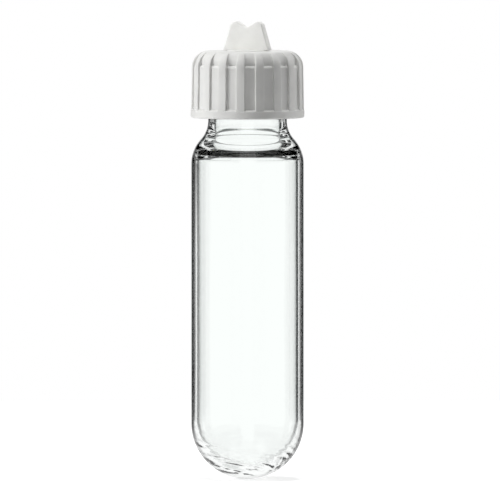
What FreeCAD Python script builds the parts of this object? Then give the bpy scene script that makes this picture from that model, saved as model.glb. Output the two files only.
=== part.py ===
import FreeCAD, Part
import math
import os
import Sketcher

# A round-bottom glass tube with a screw neck, a ribbed screw cap, and a stopper whose pull tab stands
# up through the cap. The origin is the lowest point of the glass, on the axis, and +Z points up.

# Driving dimensions in millimetres: name, value, meaning
GLASS_SIZES = [
    ("tube_radius", 12.5, "outside of the straight body and of the round bottom"),
    ("tube_wall", 1.2, "wall of the straight body"),
    ("bottom_thickness", 3.9, "glass under the middle of the chamber"),
    ("floor_radius", 21.0, "dish of the chamber's floor"),
    ("floor_corner", 5.0, "round between the floor and the straight wall"),
    ("body_height", 69.9, "from the lowest point to where the shoulder starts"),
    ("shoulder_radius", 8.3, "outer round of the shoulder"),
    ("neck_sweep", 4.0, "hollow round between the shoulder and the neck"),
    ("chamber_rise", 0.7, "from the start of the shoulder to where the chamber's wall turns in"),
    ("chamber_corner", 1.5, "round between the straight wall and the shoulder's inside"),
    ("chamber_sweep", 3.5, "hollow round between the shoulder's inside and the neck's bore"),
    ("neck_step", 3.75, "from the body's outside in to the neck's, at the root of its thread"),
    ("neck_wall", 2.05, "wall of the neck, just below the rim"),
    ("neck_flare", 0.9, "radius that the neck's bore gains on its way down to the chamber"),
    ("neck_length", 12.79, "straight neck, from the sweep to the rim"),
    ("rim_outer_round", 1.0, "fire-polished outer edge of the rim"),
    ("rim_inner_round", 0.8, "fire-polished inner edge of the rim"),
]
STOPPER_SIZES = [
    ("plug_clearance", 0.1, "between the top of the plug and the neck's bore"),
    ("plug_length", 4.4, "depth of the plug in the neck"),
    ("plug_narrowing", 0.35, "radius lost towards the end of the plug"),
    ("plug_chamfer", 0.6, "lead-in at the end of the plug"),
    ("flange_inset", 0.5, "from the neck's outside in to the flange's edge"),
    ("flange_thickness", 1.5, "flange between the glass rim and the cap's ceiling"),
    ("stem_radius", 4.6, "round stem in the cap's hole"),
    ("foot_gap", 0.2, "from the cap's top up to the foot of the tab"),
    ("foot_overhang", 0.75, "foot of the tab past the cap's hole, which holds the stopper in the cap"),
    ("tab_height", 6.3, "from the foot to the tops of the two peaks"),
    ("tab_thickness", 2.0, "blade of the tab"),
    ("peak_spacing", 5.2, "between the middles of the two peaks"),
    ("peak_round", 1.3, "round of each peak"),
    ("dip_depth", 1.2, "dip between the peaks"),
    ("dip_round", 1.2, "round at the bottom of the dip"),
    ("tab_turn", -23.0, "degrees that the tab is turned about the axis"),
]
CAP_SIZES = [
    ("thread_room", 1.45, "between the neck and the cap's bore, for the threads"),
    ("mouth_chamfer", 0.6, "lead-in at the mouth of the bore"),
    ("pilot_clearance", 0.3, "between the neck and the narrow top of the bore"),
    ("pilot_length", 1.4, "narrow top of the bore, below the ceiling"),
    ("pilot_cone", 1.0, "height of the cone between the bore and its narrow top"),
    ("skirt_wall", 1.5, "wall between the bore and the flutes"),
    ("skirt_narrowing", 0.15, "radius lost up the skirt, for the mould"),
    ("cap_height", 14.8, "whole height of the cap"),
    ("cap_top_wall", 2.0, "top of the cap, over the flange"),
    ("cap_shoulder", 3.6, "round between the skirt and the top"),
    ("stem_clearance", 0.15, "between the stem and the cap's hole"),
    ("hole_round", 0.3, "upper edge of the hole"),
    ("band_height", 1.65, "plain band at the foot of the skirt"),
    ("band_proud", 0.1, "band past the ribs"),
    ("band_round", 0.4, "lower edge of the band"),
    ("flute_count", 18, "flutes round the skirt"),
    ("flute_width", 2.25, "width of a flute"),
    ("flute_depth", 0.8, "depth of a flute"),
    ("flute_ledge", 0.45, "rise of the sloping ledge at the foot of a flute"),
    ("notch_lift", 0.2, "from the start of the cap's shoulder up to the notch over a flute"),
    ("notch_ledge", 0.45, "rise of the sloping ledge at the foot of a notch"),
    ("notch_wall", 1.2, "wall between a notch and the narrow top of the bore"),
    ("cap_turn", 12.7, "degrees that the flutes are turned about the axis"),
]

# Sizes that several pieces share, worked out from the driving dimensions
NECK_RADIUS = "(Sizes.tube_radius - Sizes.neck_step)"
NECK_BORE = f"({NECK_RADIUS} - Sizes.neck_wall)"
CHAMBER_RADIUS = "(Sizes.tube_radius - Sizes.tube_wall)"
SWEEP_CENTRE = f"({NECK_RADIUS} + Sizes.neck_sweep)"
SHOULDER_CENTRE = "(Sizes.tube_radius - Sizes.shoulder_radius)"
SWEEP_RISE = (
    "sqrt((Sizes.shoulder_radius + Sizes.neck_sweep)^2"
    f" - ({SWEEP_CENTRE} - {SHOULDER_CENTRE})^2)"
)
RIM_HEIGHT = f"(Sizes.body_height + {SWEEP_RISE} + Sizes.neck_length)"
STEM_TOP = "(Sizes.flange_thickness + Sizes.cap_top_wall + Sizes.foot_gap)"
HOLE_RADIUS = "(Sizes.stem_radius + Sizes.stem_clearance)"
CAP_BORE = f"({NECK_RADIUS} + Sizes.thread_room)"
PILOT_RADIUS = f"({NECK_RADIUS} + Sizes.pilot_clearance)"
RIB_RADIUS = f"({CAP_BORE} + Sizes.skirt_wall + Sizes.flute_depth)"
RIB_TOP_RADIUS = f"({RIB_RADIUS} - Sizes.skirt_narrowing)"
BAND_RADIUS = f"({RIB_RADIUS} + Sizes.band_proud)"
CAP_CEILING = "(Sizes.cap_height - Sizes.cap_top_wall)"

# Sketcher's numbers for the ends and centre of a curve, its two axes and the origin
START_INDEX = 1
END_INDEX = 2
CENTRE_INDEX = 3
LEVEL_INDEX = -1
AXIS_INDEX = -2
ORIGIN = (LEVEL_INDEX, START_INDEX)

# Two edges closer than this are the same edge
SAME_PLACE = 1e-6

doc = FreeCAD.newDocument("ScrewCapTube")
sheet = doc.addObject("Spreadsheet::Sheet", "Sizes")


def fill_sheet():
    row = 1
    for alias, number, meaning in GLASS_SIZES + STOPPER_SIZES + CAP_SIZES:
        sheet.set(f"A{row}", meaning)
        sheet.set(f"B{row}", str(number))
        sheet.setAlias(f"B{row}", alias)
        row += 1
    doc.recompute()


def value(expression):
    return float(sheet.evalExpression(expression.replace("Sizes.", "")))


def line(start, end):
    return Part.LineSegment(FreeCAD.Vector(*start, 0), FreeCAD.Vector(*end, 0))


def arc(centre, radius, start_angle, end_angle):
    circle = Part.Circle(FreeCAD.Vector(*centre, 0), FreeCAD.Vector(0, 0, 1), radius)
    return Part.ArcOfCircle(circle, math.radians(start_angle), math.radians(end_angle))


def new_sketch(body, name):
    # Every profile lies in the body's XZ plane, with the tube's axis as its vertical axis
    plane = next(item for item in body.Origin.OriginFeatures if item.Role == "XZ_Plane")
    sketch = body.newObject("Sketcher::SketchObject", name)
    sketch.AttachmentSupport = [(plane, "")]
    sketch.MapMode = "FlatFace"
    return sketch


def constrain(sketch, kind, *place):
    sketch.addConstraint(Sketcher.Constraint(kind, *place))


def dimension(sketch, kind, place, expression):
    index = sketch.addConstraint(Sketcher.Constraint(kind, *place, value(expression)))
    sketch.setExpression(f"Constraints[{index}]", expression)


def place_point(sketch, geometry, end, across, up):
    # A point on the axis is held there, because Sketcher has no distance of nothing
    if across == "0":
        constrain(sketch, "PointOnObject", geometry, end, AXIS_INDEX)
    else:
        dimension(sketch, "DistanceX", (*ORIGIN, geometry, end), across)
    if up == "0":
        constrain(sketch, "PointOnObject", geometry, end, LEVEL_INDEX)
    else:
        dimension(sketch, "DistanceY", (*ORIGIN, geometry, end), up)


def draw_outline(sketch, corners):
    # A closed outline of straight lines, each corner given as two expressions
    points = [(value(across), value(up)) for across, up in corners]
    following = points[1:] + points[:1]
    lines = sketch.addGeometry([line(a, b) for a, b in zip(points, following)])
    for index, (across, up) in enumerate(corners):
        constrain(sketch, "Coincident", lines[index - 1], END_INDEX, lines[index], START_INDEX)
        place_point(sketch, lines[index], START_INDEX, across, up)


def turn_profile(body, sketch):
    turned = body.newObject("PartDesign::Revolution", body.Name + "Turned")
    turned.Profile = sketch
    turned.ReferenceAxis = (sketch, ["V_Axis"])
    turned.Angle = 360
    doc.recompute()
    return turned


def round_edge(body, name, radius, ring_radius, ring_height):
    # Rounds the circular edge of the given radius and height
    base = body.Tip
    ring = (value(ring_radius), value(ring_height))
    names = []
    for number, edge in enumerate(base.Shape.Edges, 1):
        if isinstance(edge.Curve, Part.Circle):
            found = (edge.Curve.Radius, edge.Curve.Center.z)
            if math.dist(found, ring) < SAME_PLACE:
                names.append(f"Edge{number}")
    fillet = body.newObject("PartDesign::Fillet", name)
    fillet.Base = (base, names)
    fillet.setExpression("Radius", radius)
    doc.recompute()


def seat(body, height, turn):
    body.Placement = FreeCAD.Placement(FreeCAD.Vector(), FreeCAD.Rotation(FreeCAD.Vector(0, 0, 1), 1))
    body.setExpression("Placement.Base.z", height)
    body.setExpression("Placement.Rotation.Angle", turn)


def make_glass_tube():
    body = doc.addObject("PartDesign::Body", "GlassTube")
    body.Label = "glass_tube"
    sketch = new_sketch(body, "GlassProfile")

    outer = value("Sizes.tube_radius")
    bore = value(CHAMBER_RADIUS)
    start = value("Sizes.body_height")
    turn_in = start + value("Sizes.chamber_rise")
    sweep_end = start + value(SWEEP_RISE)
    rim = value(RIM_HEIGHT)
    neck = value(NECK_RADIUS)
    neck_bore = value(NECK_BORE)
    shoulder = value("Sizes.shoulder_radius")
    sweep = value("Sizes.neck_sweep")
    rim_out = value("Sizes.rim_outer_round")
    rim_in = value("Sizes.rim_inner_round")
    corner = value("Sizes.chamber_corner")
    hollow = value("Sizes.chamber_sweep")
    neck_end = neck_bore + value("Sizes.neck_flare")
    inside_lean = math.acos((neck_end + hollow - bore + corner) / (corner + hollow))
    hollow_height = turn_in + (corner + hollow) * math.sin(inside_lean)
    floor_corner = value("Sizes.floor_corner")
    floor = value("Sizes.floor_radius")
    bottom = value("Sizes.bottom_thickness")
    lean = math.degrees(math.acos((neck + sweep - outer + shoulder) / (shoulder + sweep)))
    dish = math.degrees(math.asin((bore - floor_corner) / (floor - floor_corner)))
    wall_start = bottom + floor - (floor - floor_corner) * math.cos(math.radians(dish))

    (outer_bottom, outer_wall, outer_shoulder, neck_hollow, neck_wall, rim_outside, rim_land, rim_inside,
     inner_neck, inner_shoulder, inner_corner, inner_wall, inner_floor_corner, inner_floor,
     middle) = sketch.addGeometry([
         arc((0, outer), outer, -90, 0),
         line((outer, outer), (outer, start)),
         arc((outer - shoulder, start), shoulder, 0, lean),
         arc((neck + sweep, sweep_end), sweep, 180, 180 + lean),
         line((neck, sweep_end), (neck, rim - rim_out)),
         arc((neck - rim_out, rim - rim_out), rim_out, 0, 90),
         line((neck - rim_out, rim), (neck_bore + rim_in, rim)),
         arc((neck_bore + rim_in, rim - rim_in), rim_in, 90, 180),
         line((neck_bore, rim - rim_in), (neck_end, hollow_height)),
         arc((neck_end + hollow, hollow_height), hollow, 180, 180 + math.degrees(inside_lean)),
         arc((bore - corner, turn_in), corner, 0, math.degrees(inside_lean)),
         line((bore, turn_in), (bore, wall_start)),
         arc((bore - floor_corner, wall_start), floor_corner, dish - 90, 0),
         arc((0, bottom + floor), floor, -90, dish - 90),
         line((0, bottom), (0, 0)),
     ])

    for smooth in [
        (outer_bottom, END_INDEX, outer_wall, START_INDEX),
        (outer_wall, END_INDEX, outer_shoulder, START_INDEX),
        (outer_shoulder, END_INDEX, neck_hollow, END_INDEX),
        (neck_hollow, START_INDEX, neck_wall, START_INDEX),
        (neck_wall, END_INDEX, rim_outside, START_INDEX),
        (rim_outside, END_INDEX, rim_land, START_INDEX),
        (rim_land, END_INDEX, rim_inside, START_INDEX),
        (rim_inside, END_INDEX, inner_neck, START_INDEX),
        (inner_neck, END_INDEX, inner_shoulder, START_INDEX),
        (inner_shoulder, END_INDEX, inner_corner, END_INDEX),
        (inner_corner, START_INDEX, inner_wall, START_INDEX),
        (inner_wall, END_INDEX, inner_floor_corner, END_INDEX),
        (inner_floor_corner, START_INDEX, inner_floor, END_INDEX),
    ]:
        constrain(sketch, "Tangent", *smooth)
    for upright in (outer_wall, neck_wall, inner_wall):
        constrain(sketch, "Vertical", upright)
    constrain(sketch, "Horizontal", rim_land)
    constrain(sketch, "Coincident", outer_bottom, START_INDEX, *ORIGIN)
    constrain(sketch, "PointOnObject", outer_bottom, CENTRE_INDEX, AXIS_INDEX)
    constrain(sketch, "PointOnObject", inner_floor, CENTRE_INDEX, AXIS_INDEX)
    constrain(sketch, "PointOnObject", inner_floor, START_INDEX, AXIS_INDEX)
    constrain(sketch, "Coincident", inner_floor, START_INDEX, middle, START_INDEX)
    constrain(sketch, "Coincident", middle, END_INDEX, outer_bottom, START_INDEX)

    for curve, radius in [
        (outer_bottom, "Sizes.tube_radius"),
        (outer_shoulder, "Sizes.shoulder_radius"),
        (neck_hollow, "Sizes.neck_sweep"),
        (rim_outside, "Sizes.rim_outer_round"),
        (rim_inside, "Sizes.rim_inner_round"),
        (inner_shoulder, "Sizes.chamber_sweep"),
        (inner_corner, "Sizes.chamber_corner"),
        (inner_floor_corner, "Sizes.floor_corner"),
        (inner_floor, "Sizes.floor_radius"),
    ]:
        dimension(sketch, "Radius", (curve,), radius)
    for curve, end, across in [
        (neck_wall, START_INDEX, NECK_RADIUS),
        (inner_neck, START_INDEX, NECK_BORE),
        (inner_neck, END_INDEX, f"{NECK_BORE} + Sizes.neck_flare"),
        (inner_wall, START_INDEX, CHAMBER_RADIUS),
    ]:
        dimension(sketch, "DistanceX", (*ORIGIN, curve, end), across)
    for curve, end, up in [
        (outer_wall, END_INDEX, "Sizes.body_height"),
        (rim_land, START_INDEX, RIM_HEIGHT),
        (inner_wall, START_INDEX, "Sizes.body_height + Sizes.chamber_rise"),
        (inner_floor, START_INDEX, "Sizes.bottom_thickness"),
    ]:
        dimension(sketch, "DistanceY", (*ORIGIN, curve, end), up)

    turn_profile(body, sketch)
    return body


def make_stopper():
    # Modelled from the underside of its flange, which sits on the glass rim
    body = doc.addObject("PartDesign::Body", "Stopper")
    body.Label = "stopper"
    plug_top = f"({NECK_BORE} - Sizes.plug_clearance)"
    plug_end = f"({plug_top} - Sizes.plug_narrowing)"
    flange = f"({NECK_RADIUS} - Sizes.flange_inset)"
    profile = new_sketch(body, "StopperProfile")
    draw_outline(profile, [
        ("0", "-Sizes.plug_length"),
        (f"{plug_end} - Sizes.plug_chamfer", "-Sizes.plug_length"),
        (plug_end, "Sizes.plug_chamfer - Sizes.plug_length"),
        (plug_top, "0"),
        (flange, "0"),
        (flange, "Sizes.flange_thickness"),
        ("Sizes.stem_radius", "Sizes.flange_thickness"),
        ("Sizes.stem_radius", STEM_TOP),
        ("0", STEM_TOP),
    ])
    turn_profile(body, profile)

    foot = value(f"{HOLE_RADIUS} + Sizes.foot_overhang")
    foot_height = value(STEM_TOP)
    top = foot_height + value("Sizes.tab_height")
    peak = value("Sizes.peak_spacing") / 2
    peak_round = value("Sizes.peak_round")
    peak_centre = top - peak_round
    dip_round = value("Sizes.dip_round")
    dip_centre = top - value("Sizes.dip_depth") + dip_round
    side = 20
    flank = 45
    flank_tip = peak_round * math.sin(math.radians(flank))
    dip_tip = dip_round * math.sin(math.radians(flank))
    side_tip = peak_round * math.cos(math.radians(side))
    tab = new_sketch(body, "TabOutline")
    base, right_side, right_peak, right_flank, dip, left_flank, left_peak, left_side = tab.addGeometry([
        line((-foot, foot_height), (foot, foot_height)),
        line((foot, foot_height), (peak + side_tip, peak_centre)),
        arc((peak, peak_centre), peak_round, side, 90 + flank),
        line((peak - flank_tip, peak_centre + flank_tip), (dip_tip, dip_centre - dip_tip)),
        arc((0, dip_centre), dip_round, 270 - flank, 270 + flank),
        line((-dip_tip, dip_centre - dip_tip), (flank_tip - peak, peak_centre + flank_tip)),
        arc((-peak, peak_centre), peak_round, 90 - flank, 180 - side),
        line((-peak - side_tip, peak_centre), (-foot, foot_height)),
    ])
    for smooth in [
        (right_side, END_INDEX, right_peak, START_INDEX),
        (right_peak, END_INDEX, right_flank, START_INDEX),
        (right_flank, END_INDEX, dip, END_INDEX),
        (dip, START_INDEX, left_flank, START_INDEX),
        (left_flank, END_INDEX, left_peak, START_INDEX),
        (left_peak, END_INDEX, left_side, START_INDEX),
    ]:
        constrain(tab, "Tangent", *smooth)
    constrain(tab, "Coincident", base, END_INDEX, right_side, START_INDEX)
    constrain(tab, "Coincident", left_side, END_INDEX, base, START_INDEX)
    constrain(tab, "Symmetric", base, START_INDEX, base, END_INDEX, AXIS_INDEX)
    constrain(tab, "Symmetric", right_peak, CENTRE_INDEX, left_peak, CENTRE_INDEX, AXIS_INDEX)
    constrain(tab, "PointOnObject", dip, CENTRE_INDEX, AXIS_INDEX)
    constrain(tab, "Equal", right_peak, left_peak)
    dimension(tab, "Radius", (right_peak,), "Sizes.peak_round")
    dimension(tab, "Radius", (dip,), "Sizes.dip_round")
    dimension(tab, "DistanceX", (base, START_INDEX, base, END_INDEX),
              f"2 * ({HOLE_RADIUS} + Sizes.foot_overhang)")
    dimension(tab, "DistanceX", (left_peak, CENTRE_INDEX, right_peak, CENTRE_INDEX), "Sizes.peak_spacing")
    dimension(tab, "DistanceY", (*ORIGIN, base, END_INDEX), STEM_TOP)
    dimension(tab, "DistanceY", (base, END_INDEX, right_peak, CENTRE_INDEX),
              "Sizes.tab_height - Sizes.peak_round")
    dimension(tab, "DistanceY", (base, END_INDEX, dip, CENTRE_INDEX),
              "Sizes.tab_height - Sizes.dip_depth + Sizes.dip_round")
    blade = body.newObject("PartDesign::Pad", "TabBlade")
    blade.Profile = tab
    blade.SideType = "Symmetric"
    blade.setExpression("Length", "Sizes.tab_thickness")
    doc.recompute()

    seat(body, RIM_HEIGHT, "Sizes.tab_turn")
    return body


def make_screw_cap():
    # Modelled from its lower edge
    body = doc.addObject("PartDesign::Body", "ScrewCap")
    body.Label = "screw_cap"
    pilot_end = f"({CAP_CEILING} - Sizes.pilot_length)"
    profile = new_sketch(body, "CapProfile")
    draw_outline(profile, [
        (f"{CAP_BORE} + Sizes.mouth_chamfer", "0"),
        (BAND_RADIUS, "0"),
        (BAND_RADIUS, "Sizes.band_height"),
        (RIB_RADIUS, "Sizes.band_height + Sizes.band_proud"),
        (RIB_TOP_RADIUS, "Sizes.cap_height"),
        (HOLE_RADIUS, "Sizes.cap_height"),
        (HOLE_RADIUS, CAP_CEILING),
        (PILOT_RADIUS, CAP_CEILING),
        (PILOT_RADIUS, pilot_end),
        (CAP_BORE, f"{pilot_end} - Sizes.pilot_cone"),
        (CAP_BORE, "Sizes.mouth_chamfer"),
    ])
    turn_profile(body, profile)
    round_edge(body, "CapShoulder", "Sizes.cap_shoulder", RIB_TOP_RADIUS, "Sizes.cap_height")
    round_edge(body, "BandEdge", "Sizes.band_round", BAND_RADIUS, "0")
    round_edge(body, "HoleEdge", "Sizes.hole_round", HOLE_RADIUS, "Sizes.cap_height")

    # One cut makes a flute and the deeper notch above it, which runs out over the rounded shoulder
    clear = f"({BAND_RADIUS} + Sizes.flute_depth)"
    above = "(Sizes.cap_height + Sizes.flute_depth)"
    notch_start = "(Sizes.cap_height - Sizes.cap_shoulder + Sizes.notch_lift)"
    notch_floor = f"({PILOT_RADIUS} + Sizes.notch_wall)"
    flute = new_sketch(body, "FluteOutline")
    draw_outline(flute, [
        (clear, "Sizes.band_height"),
        (RIB_RADIUS, "Sizes.band_height"),
        (f"{RIB_RADIUS} - Sizes.flute_depth", "Sizes.band_height + Sizes.flute_ledge"),
        (f"{RIB_TOP_RADIUS} - Sizes.flute_depth", notch_start),
        (notch_floor, f"{notch_start} + Sizes.notch_ledge"),
        (notch_floor, above),
        (clear, above),
    ])
    whole = body.Tip.Shape.Volume
    cut = body.newObject("PartDesign::Pocket", "Flute")
    cut.Profile = flute
    cut.SideType = "Symmetric"
    cut.setExpression("Length", "Sizes.flute_width")
    doc.recompute()
    ring = body.newObject("PartDesign::PolarPattern", "Flutes")
    ring.Originals = [cut]
    ring.Axis = (flute, ["V_Axis"])
    ring.Angle = 360
    ring.setExpression("Occurrences", "Sizes.flute_count")
    body.Tip = ring
    doc.recompute()
    lost = whole - body.Shape.Volume
    print("flutes cut", round(lost, 2), "mm3 from", round(whole, 2))

    top = f"{RIM_HEIGHT} + Sizes.flange_thickness + Sizes.cap_top_wall"
    seat(body, f"{top} - Sizes.cap_height", "Sizes.cap_turn")
    return body


def check(bodies):
    for item in doc.Objects:
        if "Invalid" in item.State or "Error" in item.State:
            raise RuntimeError(f"{item.Name} failed: {item.State}")
        if item.TypeId == "Sketcher::SketchObject" and not item.FullyConstrained:
            raise RuntimeError(f"{item.Name} is not fully constrained")
    for body in bodies:
        if body.Shape.isNull() or not body.Shape.isValid() or len(body.Shape.Solids) != 1:
            raise RuntimeError(f"{body.Label} is not one valid solid")


fill_sheet()
pieces = [make_glass_tube(), make_stopper(), make_screw_cap()]
doc.recompute()
check(pieces)
os.makedirs("parts", exist_ok=True)
for piece in pieces:
    box = piece.Shape.BoundBox
    print(piece.Label, "volume", round(piece.Shape.Volume, 1), "z", round(box.ZMin, 2), round(box.ZMax, 2))
    piece.Shape.exportStep(f"parts/{piece.Label}.step")
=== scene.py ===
import bmesh
import bpy
import math
from mathutils import Matrix, Vector, noise


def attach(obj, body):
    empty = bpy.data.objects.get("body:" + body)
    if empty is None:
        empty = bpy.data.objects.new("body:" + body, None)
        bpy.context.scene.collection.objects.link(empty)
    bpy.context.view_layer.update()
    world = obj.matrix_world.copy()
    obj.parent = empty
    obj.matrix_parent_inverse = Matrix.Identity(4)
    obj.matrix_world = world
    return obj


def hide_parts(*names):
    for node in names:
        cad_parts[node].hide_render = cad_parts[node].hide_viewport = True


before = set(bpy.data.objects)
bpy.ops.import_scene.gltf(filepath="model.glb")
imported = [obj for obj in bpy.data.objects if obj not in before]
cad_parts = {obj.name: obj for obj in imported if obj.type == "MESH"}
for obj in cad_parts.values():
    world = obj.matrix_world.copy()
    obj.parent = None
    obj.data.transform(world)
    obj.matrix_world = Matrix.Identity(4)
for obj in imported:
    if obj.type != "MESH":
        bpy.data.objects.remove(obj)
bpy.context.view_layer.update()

mm = 0.001    # sizes below are in millimetres, Blender's in metres
weld = 0.001    # points closer than this become one
near = 0.01    # a point this close to an outline counts as on it


# shared helpers

def linear(hexColour):
    # sRGB hex to the linear colour that shader sockets take
    channels = [int(hexColour[i:i + 2], 16) / 255 for i in (0, 2, 4)]
    return tuple(c / 12.92 if c <= 0.04045 else ((c + 0.055) / 1.055) ** 2.4 for c in channels) + (1.0,)


def addNode(tree, kind, settings=None, links=None):
    node = tree.nodes.new("ShaderNode" + kind)
    for name, value in (settings or {}).items():
        if name in node.inputs:
            node.inputs[name].default_value = value
        else:
            setattr(node, name, value)
    for name, source in (links or {}).items():
        tree.links.new(source, node.inputs[name])
    return node


def newMaterial(name):
    material = bpy.data.materials.new(name)
    material.use_nodes = True
    material.node_tree.nodes.clear()
    return material, material.node_tree


def blendColours(tree, source, stops):
    # a colour ramp with its stops given as position and hex colour
    node = addNode(tree, "ValToRGB", links={"Fac": source})
    elements = node.color_ramp.elements
    while len(elements) < len(stops):
        elements.new(stops[len(elements)][0])
    for element, (position, colour) in zip(elements, stops):
        element.position = position
        element.color = linear(colour)
    return node.outputs["Color"]


def pointsOf(geometry):
    return [part for part in geometry if isinstance(part, bmesh.types.BMVert)]


def moveTo(bm, vert, across, up, steps=1):
    # a straight stretch of an outline in the XZ plane
    stride = (Vector((across, 0, up)) - vert.co) / steps
    for _ in range(steps):
        vert = bmesh.ops.extrude_vert_indiv(bm, verts=[vert])["verts"][0]
        bmesh.ops.translate(bm, vec=stride, verts=[vert])
    return vert


def sweepAbout(bm, vert, across, up, degrees, steps):
    # a round stretch of an outline, counter-clockwise when positive
    made = bmesh.ops.spin(bm, geom=[vert], cent=(across, 0, up), axis=(0, -1, 0),
                          angle=math.radians(degrees), steps=steps)
    return pointsOf(made["geom_last"])[0]


def turnOutline(bm, steps):
    bmesh.ops.remove_doubles(bm, verts=bm.verts, dist=weld)
    bmesh.ops.spin(bm, geom=bm.verts[:] + bm.edges[:], cent=(0, 0, 0), axis=(0, 0, 1),
                   angle=math.tau, steps=steps, use_merge=True)
    bmesh.ops.remove_doubles(bm, verts=bm.verts, dist=weld)
    bmesh.ops.recalc_face_normals(bm, faces=bm.faces)


def fromAxis(vert):
    return math.hypot(vert.co.x, vert.co.y)


def makeObject(bm, name, material):
    bmesh.ops.scale(bm, vec=(mm, mm, mm), verts=bm.verts)
    mesh = bpy.data.meshes.new(name)
    bm.to_mesh(mesh)
    bm.free()
    mesh.polygons.foreach_set("use_smooth", [True] * len(mesh.polygons))
    mesh.materials.append(material)
    made = bpy.data.objects.new(name, mesh)
    bpy.context.scene.collection.objects.link(made)
    return made


def shadeCorners(piece):
    # the facets of rounds are shaded softly, and corners past this angle stay crisp
    piece.data.set_sharp_from_angle(angle=math.radians(36))
    piece.modifiers.new("even_shading", "WEIGHTED_NORMAL").keep_sharp = True


def dress(piece, body, node):
    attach(piece, body)
    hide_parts(node)


# screw thread: one rounded ridge on the neck and one in the cap, half a pitch apart on the same helix

thread = {
    "pitch": 3.175, "turns": 1.5, "fade": 0.12,
    "glassStart": 83.0, "glassHeight": 1.0, "glassWidth": 1.7,
    "capHeight": 1.0, "capWidth": 1.5,
}


def raiseRidge(verts, start, height, width):
    # moves points of a round wall in or out along a right-hand helix
    for v in verts:
        shareOfTurn = math.atan2(v.co.y, v.co.x) % math.tau / math.tau
        rise = 0
        for turn in range(math.ceil(thread["turns"])):
            along = turn + shareOfTurn
            away = abs(v.co.z - start - along * thread["pitch"]) / (width / 2)
            ends = min(along, thread["turns"] - along) / thread["fade"]
            crest = max(0, min(1, ends)) * max(0, 1 - away)
            rise = max(rise, crest * crest * (3 - 2 * crest))
        side = Vector((v.co.x, v.co.y, 0)).normalized()
        v.co += side * rise * height


# borosilicate tube, lamp-worked from drawn tubing and fire-polished at the rim

glass = {
    "bodyRadius": 12.5, "bodyWall": 1.2, "bodyHeight": 69.9,
    "bottomThickness": 2.4, "floorRadius": 11.6, "floorCorner": 10.9,
    "shoulder": 8.3, "sweep": 6.0,
    "neckRadius": 8.75, "neckBore": 6.7, "neckFlare": 0.9, "rimHeight": 91.53,
    "innerStart": 70.6, "innerCorner": 1.5, "innerSweep": 3.5,
    "rimOuter": 1.0, "rimInner": 0.8, "steps": 192,
    "floorWaves": 0.3, "floorWaveSize": 2.4, "floorWaveTop": 13.0,
    "wallWaves": 0.04, "wallWaveSize": (9.0, 9.0, 20.0),
    # heights over which the painted edge shade of the glass fades in from the bottom
    "edgeShadeStart": -2.0, "edgeShadeFull": 10.0,
}


def glassMaterial():
    # clear glass: the eye sees only what it bends and reflects, and where it is looked along its edges get
    # painted dark grey shade, standing in for reflections of a dark room
    material, tree = newMaterial("clear_borosilicate_glass")
    facing = addNode(tree, "LayerWeight", {"Blend": 0.5}).outputs["Facing"]
    where = addNode(tree, "TexCoord").outputs["Object"]
    height = addNode(tree, "SeparateXYZ", links={"Vector": where}).outputs["Z"]
    # the painted edge shade fades out towards the bottom of the tube, from full at 10 mm up to none at the
    # bottom
    drawn = addNode(tree, "MapRange", {
        "From Min": glass["edgeShadeStart"] * mm, "From Max": glass["edgeShadeFull"] * mm}, {"Value": height})
    # painted shade: the base colour turns dark grey where the surface is seen edge-on
    paintedEdgeShade = blendColours(tree, facing, [(0.62, "fdfffe"), (0.71, "1c1e1e")])
    edge = addNode(tree, "MixRGB", {"Color1": linear("fdfffe")}, {"Fac": drawn.outputs[0], "Color2": paintedEdgeShade})
    shader = addNode(tree, "BsdfPrincipled", {
        "Roughness": 0.0, "IOR": 1.473, "Transmission Weight": 1.0}, {"Base Color": edge.outputs[0]})
    addNode(tree, "OutputMaterial", links={"Surface": shader.outputs["BSDF"]})
    return material


def isInside(vert):
    # on the chamber's wall or floor
    outer = glass["bodyRadius"]
    if vert.co.z < outer:
        return (vert.co - Vector((0, 0, outer))).length < outer - glass["bodyWall"] / 4
    return fromAxis(vert) < outer - glass["bodyWall"] / 2


def waveGlass(bm):
    # drawn walls are never quite even, and the closed end keeps the swirl of the melted glass
    size = glass["floorWaveSize"]
    bm.normal_update()
    for v in [v for v in bm.verts if v.co.z < glass["bodyHeight"] and isInside(v)]:
        drawn = Vector(a / b for a, b in zip(v.co, glass["wallWaveSize"]))
        shift = glass["wallWaves"] * noise.noise(drawn)
        low = max(0, 1 - v.co.z / glass["floorWaveTop"])
        swirl = Matrix.Rotation(v.co.length / size, 3, "Z") @ v.co
        shift += low * glass["floorWaves"] * noise.noise(swirl / size)
        v.co += v.normal * shift


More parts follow.
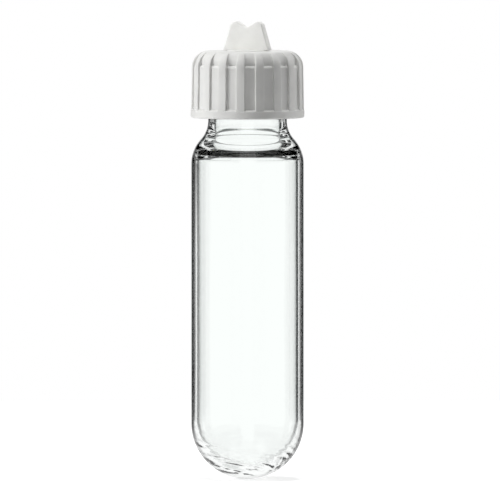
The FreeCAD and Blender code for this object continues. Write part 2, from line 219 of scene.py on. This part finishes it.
def buildGlass():
    g = glass
    outer, start, rim = g["bodyRadius"], g["bodyHeight"], g["rimHeight"]
    bore = outer - g["bodyWall"]
    neck, sweep = g["neckRadius"], g["sweep"]
    reach = g["shoulder"] + sweep
    lean = math.degrees(math.acos((neck + sweep - outer + g["shoulder"]) / reach))
    sweepEnd = start + reach * math.sin(math.radians(lean))
    hollow = g["innerSweep"]
    hollowAcross = g["neckBore"] + g["neckFlare"] + hollow
    innerReach = g["innerCorner"] + hollow
    innerLean = math.degrees(math.acos((hollowAcross - bore + g["innerCorner"]) / innerReach))
    hollowUp = g["innerStart"] + innerReach * math.sin(math.radians(innerLean))
    taper = math.atan2(g["neckFlare"], rim - g["rimInner"] - hollowUp)
    floorReach = g["floorRadius"] - g["floorCorner"]
    dish = math.degrees(math.asin((bore - g["floorCorner"]) / floorReach))
    floorTop = g["bottomThickness"] + g["floorRadius"] - floorReach * math.cos(math.radians(dish))

    bm = bmesh.new()
    v = bmesh.ops.create_vert(bm, co=(0, 0, 0))["vert"][0]
    v = sweepAbout(bm, v, 0, outer, 90, 40)
    v = moveTo(bm, v, outer, start, 30)
    v = sweepAbout(bm, v, outer - g["shoulder"], start, lean, 24)
    v = sweepAbout(bm, v, neck + sweep, sweepEnd, -lean, 12)
    v = moveTo(bm, v, neck, rim - g["rimOuter"], 48)
    v = sweepAbout(bm, v, neck - g["rimOuter"], rim - g["rimOuter"], 90, 8)
    v = moveTo(bm, v, g["neckBore"] + g["rimInner"], rim)
    v = sweepAbout(bm, v, g["neckBore"] + g["rimInner"], rim - g["rimInner"], 90 + math.degrees(taper), 8)
    v = moveTo(bm, v, hollowAcross - hollow * math.cos(taper), hollowUp - hollow * math.sin(taper), 12)
    v = sweepAbout(bm, v, hollowAcross, hollowUp, innerLean - math.degrees(taper), 32)
    v = sweepAbout(bm, v, bore - g["innerCorner"], g["innerStart"], -innerLean, 16)
    v = moveTo(bm, v, bore, floorTop, 30)
    v = sweepAbout(bm, v, bore - g["floorCorner"], floorTop, dish - 90, 24)
    sweepAbout(bm, v, 0, g["bottomThickness"] + g["floorRadius"], -dish, 24)
    turnOutline(bm, g["steps"])
    waveGlass(bm)
    wall = [v for v in bm.verts if abs(fromAxis(v) - neck) < near and v.co.z > sweepEnd]
    raiseRidge(wall, thread["glassStart"], thread["glassHeight"], thread["glassWidth"])
    piece = makeObject(bm, "glass_tube_clear", glassMaterial())
    dress(piece, "tube", "glass_tube")


buildGlass()
print("glass tube made")


# screw cap, one polypropylene moulding with flutes that end in deeper notches on its rounded shoulder

cap = {
    "seat": 80.23, "turn": 12.7, "height": 14.8, "topWall": 2.0, "shoulder": 3.6,
    "bore": 10.2, "mouth": 0.6, "pilot": 9.05, "pilotLength": 1.4, "pilotCone": 1.0,
    "hole": 4.75, "holeRound": 0.3,
    "band": 12.6, "bandHeight": 1.65, "bandRound": 0.4, "rib": 12.5, "ribTop": 12.35,
    "flutes": 18, "fluteWidth": 2.25, "fluteDepth": 0.5, "fluteLedge": 0.45,
    "notchLift": 0.2, "notchLedge": 0.6, "notchDepth": 1.05, "notchEnd": 72.0,
    "edge": 0.2, "edgeAngle": 25.0, "edgeRunOut": 0.35,
}


def capMaterial():
    # moulded polypropylene: satin white, faintly translucent, with the mould's fine spark-eroded grain
    material, tree = newMaterial("moulded_white_polypropylene")
    where = addNode(tree, "TexCoord").outputs["Object"]
    cloud = addNode(tree, "TexNoise", {"Scale": 1 / (5 * mm), "Detail": 3.0}, {"Vector": where})
    grain = addNode(tree, "TexNoise", {"Scale": 1 / (0.35 * mm), "Detail": 2.0}, {"Vector": where})
    tone = blendColours(tree, cloud.outputs["Fac"], [(0.3, "d9d9d7"), (0.7, "e2e2e0")])
    rough = addNode(tree, "MapRange", {"To Min": 0.36, "To Max": 0.5}, {"Value": grain.outputs["Fac"]})
    bump = addNode(tree, "Bump", {"Strength": 0.35, "Distance": 0.012 * mm}, {"Height": grain.outputs["Fac"]})
    shader = addNode(tree, "BsdfPrincipled", {
        "IOR": 1.49, "Subsurface Weight": 0.1,
        "Subsurface Radius": (1.0, 1.0, 0.9), "Subsurface Scale": 1.2 * mm},
        {"Base Color": tone, "Roughness": rough.outputs[0], "Normal": bump.outputs[0]})
    addNode(tree, "OutputMaterial", links={"Surface": shader.outputs["BSDF"]})
    return material


def fluteSide(place, pitch):
    # angle of the nearest flute's middle, and the place's angle from it
    angle = math.atan2(place.y, place.x)
    middle = round(angle / pitch) * pitch
    return middle, angle - middle


def setBeside(vert, middle, out, side, up):
    vert.co = Matrix.Rotation(middle, 3, "Z") @ Vector((out, side, up))


def cutFlutes(bm, ribFoot, notchTop):
    c = cap
    pitch = math.tau / c["flutes"]
    half = c["fluteWidth"] / 2
    ledgeTop = c["bandHeight"] + c["fluteLedge"]
    notchStart = c["height"] - c["shoulder"] + c["notchLift"]
    inFlute = []
    for f in bm.faces:
        centre = f.calc_center_median()
        aside = fluteSide(centre, pitch)[1]
        facesOut = f.normal.x * centre.x + f.normal.y * centre.y > near
        if abs(aside) < pitch / 4 and facesOut and ribFoot < centre.z < notchTop:
            inFlute.append(f)
    for v in {v for f in inFlute for v in f.verts}:
        middle, aside = fluteSide(v.co, pitch)
        if abs(aside) > pitch / 8:
            setBeside(v, middle, math.sqrt(fromAxis(v) ** 2 - half ** 2), math.copysign(half, aside), v.co.z)
    made = bmesh.ops.extrude_face_region(bm, geom=inFlute)["geom"]
    for v in pointsOf(made):
        middle, aside = fluteSide(v.co, pitch)
        side = math.copysign(half, aside) if abs(aside) > pitch / 8 else 0
        if v.co.z < ribFoot + near:
            setBeside(v, middle, c["rib"] - c["fluteDepth"], side, ledgeTop)
        elif v.co.z < notchStart + near:
            up = (v.co.z - ribFoot) / (notchStart - ribFoot)
            setBeside(v, middle, c["rib"] - c["fluteDepth"] + up * (c["ribTop"] - c["rib"]), side, v.co.z)
        elif v.co.z < notchTop - near:
            # the notch follows the rounded shoulder and runs out at the top
            lean = math.asin((v.co.z - c["height"] + c["shoulder"]) / c["shoulder"])
            left = 1 - lean / math.radians(c["notchEnd"])
            reach = c["shoulder"] - c["notchDepth"] * left
            setBeside(v, middle, c["ribTop"] - c["shoulder"] + reach * math.cos(lean), side,
                      c["height"] - c["shoulder"] + reach * math.sin(lean))
    bmesh.ops.delete(bm, geom=[f for f in inFlute if f.is_valid], context="FACES")
    bmesh.ops.remove_doubles(bm, verts=bm.verts, dist=weld)
    bmesh.ops.recalc_face_normals(bm, faces=bm.faces)


def buildCap():
    c = cap
    top, ceiling = c["height"], c["height"] - c["topWall"]
    shoulderUp = top - c["shoulder"]
    shoulderAcross = c["ribTop"] - c["shoulder"]
    pilotEnd = ceiling - c["pilotLength"]
    ribFoot = c["bandHeight"] + c["band"] - c["rib"]
    notchFoot = math.degrees(math.asin(c["notchLift"] / c["shoulder"]))
    notchLedge = math.degrees(math.asin((c["notchLift"] + c["notchLedge"]) / c["shoulder"]))
    notchTop = shoulderUp + c["shoulder"] * math.sin(math.radians(c["notchEnd"]))

    bm = bmesh.new()
    v = bmesh.ops.create_vert(bm, co=(c["bore"] + c["mouth"], 0, 0))["vert"][0]
    v = moveTo(bm, v, c["band"] - c["bandRound"], 0)
    v = sweepAbout(bm, v, c["band"] - c["bandRound"], c["bandRound"], 90, 5)
    v = moveTo(bm, v, c["band"], c["bandHeight"], 2)
    v = moveTo(bm, v, c["rib"], ribFoot)
    v = moveTo(bm, v, c["ribTop"], shoulderUp, 12)
    v = sweepAbout(bm, v, shoulderAcross, shoulderUp, notchFoot, 1)
    v = sweepAbout(bm, v, shoulderAcross, shoulderUp, notchLedge - notchFoot, 1)
    v = sweepAbout(bm, v, shoulderAcross, shoulderUp, c["notchEnd"] - notchLedge, 12)
    v = sweepAbout(bm, v, shoulderAcross, shoulderUp, 90 - c["notchEnd"], 6)
    v = moveTo(bm, v, c["hole"] + c["holeRound"], top, 3)
    v = sweepAbout(bm, v, c["hole"] + c["holeRound"], top - c["holeRound"], 90, 4)
    v = moveTo(bm, v, c["hole"], ceiling, 2)
    v = moveTo(bm, v, c["pilot"], ceiling, 3)
    v = moveTo(bm, v, c["pilot"], pilotEnd, 2)
    v = moveTo(bm, v, c["bore"], pilotEnd - c["pilotCone"], 2)
    v = moveTo(bm, v, c["bore"], c["mouth"], 40)
    moveTo(bm, v, c["bore"] + c["mouth"], 0)
    turnOutline(bm, 4 * c["flutes"])
    cutFlutes(bm, ribFoot, notchTop)
    # corners that stand out get a small round, which ends before a notch runs out
    sharp = []
    for e in bm.edges:
        outside = min(fromAxis(v) for v in e.verts) > c["bore"] + near
        high = max(v.co.z for v in e.verts)
        standsOut = e.calc_face_angle_signed(0) > math.radians(c["edgeAngle"])
        if outside and standsOut and ribFoot + near < high < notchTop - c["edgeRunOut"]:
            sharp.append(e)
    bmesh.ops.bevel(bm, geom=sharp, offset=c["edge"], offset_type="OFFSET", segments=3, profile=0.5,
                    affect="EDGES", material=-1, clamp_overlap=False)
    bmesh.ops.rotate(bm, matrix=Matrix.Rotation(math.radians(c["turn"]), 3, "Z"), verts=bm.verts)
    bmesh.ops.translate(bm, vec=(0, 0, c["seat"]), verts=bm.verts)
    wall = [v for v in bm.verts if abs(fromAxis(v) - c["bore"]) < near]
    raiseRidge(wall, thread["glassStart"] - thread["pitch"] / 2, -thread["capHeight"], thread["capWidth"])
    piece = makeObject(bm, "screw_cap_moulded", capMaterial())
    shadeCorners(piece)
    dress(piece, "cap", "screw_cap")


buildCap()
print("screw cap made")


# stopper, one piece of fluoropolymer: plug, flange and stem turned, with a notched tab on top

stopper = {
    "seat": 91.53, "turn": -23.0, "plugTop": 6.6, "plugEnd": 6.25, "plugLength": 4.4, "plugChamfer": 0.6,
    "flange": 8.25, "flangeThickness": 1.5, "edge": 0.15, "stem": 4.6, "stemTop": 3.7, "steps": 96,
    "foot": 5.5, "footSink": 0.05, "tabHeight": 6.3, "tabThickness": 2.0, "tabEdge": 0.32,
    "tabEdgeAngle": 30.0, "peakSpacing": 5.2, "peakRound": 1.3, "dipDepth": 1.2, "dipRound": 1.2,
}


def stopperMaterial():
    # fluoropolymer: waxy white that lets some light in, with a faint cloudiness and soft gloss
    material, tree = newMaterial("waxy_white_fluoropolymer")
    where = addNode(tree, "TexCoord").outputs["Object"]
    cloud = addNode(tree, "TexNoise", {"Scale": 1 / (2.5 * mm), "Detail": 3.0}, {"Vector": where})
    grain = addNode(tree, "TexNoise", {"Scale": 1 / (0.5 * mm), "Detail": 2.0}, {"Vector": where})
    tone = blendColours(tree, cloud.outputs["Fac"], [(0.3, "eeeeeb"), (0.7, "f5f5f2")])
    rough = addNode(tree, "MapRange", {"To Min": 0.3, "To Max": 0.42}, {"Value": cloud.outputs["Fac"]})
    bump = addNode(tree, "Bump", {"Strength": 0.25, "Distance": 0.01 * mm}, {"Height": grain.outputs["Fac"]})
    shader = addNode(tree, "BsdfPrincipled", {
        "IOR": 1.36, "Subsurface Weight": 0.35,
        "Subsurface Radius": (1.0, 1.0, 0.95), "Subsurface Scale": 2 * mm},
        {"Base Color": tone, "Roughness": rough.outputs[0], "Normal": bump.outputs[0]})
    addNode(tree, "OutputMaterial", links={"Surface": shader.outputs["BSDF"]})
    return material


def turnStopper(material):
    s = stopper
    edge, flange = s["edge"], s["flange"]
    bm = bmesh.new()
    v = bmesh.ops.create_vert(bm, co=(0, 0, -s["plugLength"]))["vert"][0]
    v = moveTo(bm, v, s["plugEnd"] - s["plugChamfer"], -s["plugLength"], 4)
    v = moveTo(bm, v, s["plugEnd"], s["plugChamfer"] - s["plugLength"])
    v = moveTo(bm, v, s["plugTop"], 0, 4)
    v = moveTo(bm, v, flange - edge, 0)
    v = sweepAbout(bm, v, flange - edge, edge, 90, 4)
    v = moveTo(bm, v, flange, s["flangeThickness"] - edge)
    v = sweepAbout(bm, v, flange - edge, s["flangeThickness"] - edge, 90, 4)
    v = moveTo(bm, v, s["stem"], s["flangeThickness"], 3)
    v = moveTo(bm, v, s["stem"], s["stemTop"] - edge, 3)
    v = sweepAbout(bm, v, s["stem"] - edge, s["stemTop"] - edge, 90, 4)
    moveTo(bm, v, 0, s["stemTop"], 4)
    turnOutline(bm, s["steps"])
    bmesh.ops.translate(bm, vec=(0, 0, s["seat"]), verts=bm.verts)
    return makeObject(bm, "stopper_waxy", material)


def makeTab(material):
    s = stopper
    foot, low = s["foot"], s["stemTop"] - s["footSink"]
    top = s["stemTop"] + s["tabHeight"]
    peak, peakRound, dipRound = s["peakSpacing"] / 2, s["peakRound"], s["dipRound"]
    peakUp, dipUp = top - peakRound, top - s["dipDepth"] + dipRound
    # angles at which the straight sides and flanks touch the rounds
    fall = math.hypot(foot - peak, low - peakUp)
    side = math.degrees(math.atan2(low - peakUp, foot - peak) + math.acos(peakRound / fall))
    span = math.hypot(peak, dipUp - peakUp)
    flank = math.degrees(math.atan2(dipUp - peakUp, -peak) - math.acos((peakRound + dipRound) / span))
    bm = bmesh.new()
    v = bmesh.ops.create_vert(bm, co=(-foot, 0, low))["vert"][0]
    v = moveTo(bm, v, foot, low)
    v = moveTo(bm, v, peak + peakRound * math.cos(math.radians(side)),
               peakUp + peakRound * math.sin(math.radians(side)))
    v = sweepAbout(bm, v, peak, peakUp, flank - side, 12)
    v = moveTo(bm, v, -dipRound * math.cos(math.radians(flank)),
               dipUp - dipRound * math.sin(math.radians(flank)))
    v = sweepAbout(bm, v, 0, dipUp, 2 * (90 - flank), 8)
    v = moveTo(bm, v, -peak - peakRound * math.cos(math.radians(flank)),
               peakUp + peakRound * math.sin(math.radians(flank)))
    v = sweepAbout(bm, v, -peak, peakUp, flank - side, 12)
    moveTo(bm, v, -foot, low)
    bmesh.ops.remove_doubles(bm, verts=bm.verts, dist=weld)
    bmesh.ops.contextual_create(bm, geom=bm.edges[:])
    made = bmesh.ops.extrude_face_region(bm, geom=bm.faces[:], use_keep_orig=True)["geom"]
    bmesh.ops.translate(bm, vec=(0, s["tabThickness"], 0), verts=pointsOf(made))
    bmesh.ops.recalc_face_normals(bm, faces=bm.faces)
    rims = [e for e in bm.edges if max(v.co.z for v in e.verts) > low + near
            and e.calc_face_angle(0) > math.radians(s["tabEdgeAngle"])]
    bmesh.ops.bevel(bm, geom=rims, offset=s["tabEdge"], offset_type="OFFSET", segments=4, profile=0.5,
                    affect="EDGES", material=-1)
    bmesh.ops.translate(bm, vec=(0, -s["tabThickness"] / 2, s["seat"]), verts=bm.verts)
    bmesh.ops.rotate(bm, matrix=Matrix.Rotation(math.radians(s["turn"]), 3, "Z"), verts=bm.verts)
    return makeObject(bm, "tab", material)


def buildStopper():
    material = stopperMaterial()
    piece = turnStopper(material)
    tab = makeTab(material)
    union = piece.modifiers.new("union", "BOOLEAN")
    union.operation = "UNION"
    union.solver = "EXACT"
    union.object = tab
    joined = bpy.data.meshes.new_from_object(piece.evaluated_get(bpy.context.evaluated_depsgraph_get()))
    piece.modifiers.remove(union)
    bpy.data.objects.remove(tab)
    piece.data = joined
    shadeCorners(piece)
    dress(piece, "stopper", "stopper")


buildStopper()
print("stopper made")


# studio: pale floor, white surround, soft lamps on the left, behind on the right and overhead, and dark cards
# that show only in reflections, where they draw the edges of the glass as on a photographer's table

studio = {
    "ambient": 0.11, "floorRadius": 300, "floorGlow": 0.62,
    "cardDistance": 250, "cardFade": 35, "cardStep": 3,
    # azimuths of a card's ends, from straight behind the tube to the left, and its lower and upper edge
    "cards": [
        (20, 38, -30, 190), (38, 56, 40, 190), (56, 80, -30, 190),
        (-38, -20, -30, 190), (-80, -47, -30, 190),
        (18, 162, 85, 400), (-162, -18, 85, 400),
    ],
    # azimuth from the front to the right, height, distance, width, length and watts
    "lamps": {
        "left_softbox": (-78, 150, 500, 180, 420, 2.25),
        "right_softbox": (112, 120, 500, 250, 400, 1.2),
        "top_softbox": (0, 560, 30, 200, 200, 1.6),
    },
    "lampAim": 60,
}


def seenBackground(tree):
    # 1 for the rays by which the camera, glass and gloss see the surround
    path = addNode(tree, "LightPath").outputs
    sharp = addNode(tree, "Math", {"operation": "MAXIMUM"}, {
        0: path["Is Glossy Ray"], 1: path["Is Transmission Ray"]})
    seen = addNode(tree, "Math", {"operation": "MAXIMUM"}, {
        0: path["Is Camera Ray"], 1: sharp.outputs[0]})
    return seen.outputs[0]


def buildWorld():
    world = bpy.data.worlds.new("white_surround")
    bpy.context.scene.world = world
    world.use_nodes = True
    tree = world.node_tree
    tree.nodes.clear()
    level = addNode(tree, "MapRange", {"To Min": studio["ambient"], "To Max": 1.0},
                    {"Value": seenBackground(tree)})
    light = addNode(tree, "Background", {"Color": (1, 1, 1, 1)}, {"Strength": level.outputs[0]})
    addNode(tree, "OutputWorld", links={"Surface": light.outputs[0]})


def buildFloor():
    material, tree = newMaterial("pale_floor")
    paint = addNode(tree, "BsdfDiffuse", {"Color": linear("f2f2f2")})
    lift = addNode(tree, "MapRange", {"To Max": studio["floorGlow"]}, {"Value": seenBackground(tree)})
    glow = addNode(tree, "Emission", {"Color": (1, 1, 1, 1)}, {"Strength": lift.outputs[0]})
    both = addNode(tree, "AddShader", links={0: paint.outputs[0], 1: glow.outputs[0]})
    addNode(tree, "OutputMaterial", links={"Surface": both.outputs[0]})
    bm = bmesh.new()
    bmesh.ops.create_circle(bm, cap_ends=True, segments=96, radius=studio["floorRadius"])
    floor = makeObject(bm, "floor", material)
    # glass and gloss show the surround below it instead
    floor.visible_transmission = False
    floor.visible_glossy = False


def cardMaterial(low, high):
    # matt black that fades into the white surround at the lower and upper end
    material, tree = newMaterial("graduated_card")
    fade = studio["cardFade"]
    where = addNode(tree, "TexCoord").outputs["Object"]
    height = addNode(tree, "SeparateXYZ", links={"Vector": where}).outputs["Z"]
    below = addNode(tree, "MapRange", {
        "From Min": low * mm, "From Max": (low + fade) * mm, "To Min": 1.0, "To Max": 0.0}, {"Value": height})
    above = addNode(tree, "MapRange", {
        "From Min": (high - fade) * mm, "From Max": high * mm}, {"Value": height})
    ends = addNode(tree, "Math", {"operation": "MAXIMUM"}, {0: below.outputs[0], 1: above.outputs[0]})
    # it is seen only by light that was reflected on its way, so the tube stays clear from every side
    turned = addNode(tree, "LightPath").outputs["Glossy Depth"]
    straight = addNode(tree, "MapRange", {"To Min": 1.0, "To Max": 0.0}, {"Value": turned})
    level = addNode(tree, "Math", {"operation": "MAXIMUM"}, {0: ends.outputs[0], 1: straight.outputs[0]})
    glow = addNode(tree, "Emission", {"Color": (1, 1, 1, 1)}, {"Strength": level.outputs[0]})
    addNode(tree, "OutputMaterial", links={"Surface": glow.outputs[0]})
    return material


def standCard(start, end, low, high):
    # a curved card between two azimuths
    bm = bmesh.new()
    v = bmesh.ops.create_vert(bm, co=(0, studio["cardDistance"], low))["vert"][0]
    bmesh.ops.rotate(bm, matrix=Matrix.Rotation(math.radians(start), 3, "Z"), verts=[v])
    bmesh.ops.spin(bm, geom=[v], cent=(0, 0, 0), axis=(0, 0, 1), angle=math.radians(end - start),
                   steps=round((end - start) / studio["cardStep"]))
    raised = bmesh.ops.extrude_edge_only(bm, edges=bm.edges[:])["geom"]
    bmesh.ops.translate(bm, vec=(0, 0, high - low), verts=pointsOf(raised))
    card = makeObject(bm, "card", cardMaterial(low, high))
    # only glass and gloss see it
    card.visible_camera = False
    card.visible_diffuse = False
    card.visible_shadow = False


def buildLamp(name, azimuth, height, distance, width, length, watts):
    lamp = bpy.data.lights.new(name, "AREA")
    lamp.shape = "RECTANGLE"
    lamp.size, lamp.size_y = width * mm, length * mm
    lamp.energy = watts
    holder = bpy.data.objects.new(name, lamp)
    bpy.context.scene.collection.objects.link(holder)
    angle = math.radians(azimuth)
    place = Vector((math.sin(angle) * distance, -math.cos(angle) * distance, height)) * mm
    holder.location = place
    aim = Vector((0, 0, studio["lampAim"])) * mm
    holder.rotation_euler = (place - aim).to_track_quat("Z", "Y").to_euler()
    holder.visible_camera = False
    holder.visible_glossy = False
    holder.visible_transmission = False


buildWorld()
buildFloor()
for card in studio["cards"]:
    standCard(*card)
for lampName, setting in studio["lamps"].items():
    buildLamp(lampName, *setting)
print("studio made")


# camera: a long lens at the photograph's height, a little above the cap

view = {
    "distance": 3000, "aimAcross": 0.55, "aimUp": 50.86, "rise": 2.7, "frameWidth": 110.8, "sensor": 36.0,
    "clipEnd": 20000, "throughGlass": 32, "inGloss": 6,
}


def buildCamera():
    camera = bpy.data.cameras.new("camera")
    camera.sensor_width = view["sensor"]
    camera.lens = view["sensor"] * view["distance"] / view["frameWidth"]
    camera.clip_end = view["clipEnd"] * mm
    holder = bpy.data.objects.new("camera", camera)
    bpy.context.scene.collection.objects.link(holder)
    rise = math.radians(view["rise"])
    aim = Vector((view["aimAcross"], 0, view["aimUp"])) * mm
    back = Vector((0, -math.cos(rise), math.sin(rise)))
    holder.location = aim + back * view["distance"] * mm
    holder.rotation_euler = back.to_track_quat("Z", "Y").to_euler()
    bpy.context.scene.camera = holder


buildCamera()
bpy.context.scene.view_settings.view_transform = "Standard"
# light crosses many faces of glass on its way, so it may bounce more often than by default
bpy.context.scene.cycles.transmission_bounces = view["throughGlass"]
bpy.context.scene.cycles.glossy_bounces = view["inGloss"]
bpy.context.scene.cycles.max_bounces = view["throughGlass"]

print("camera set")
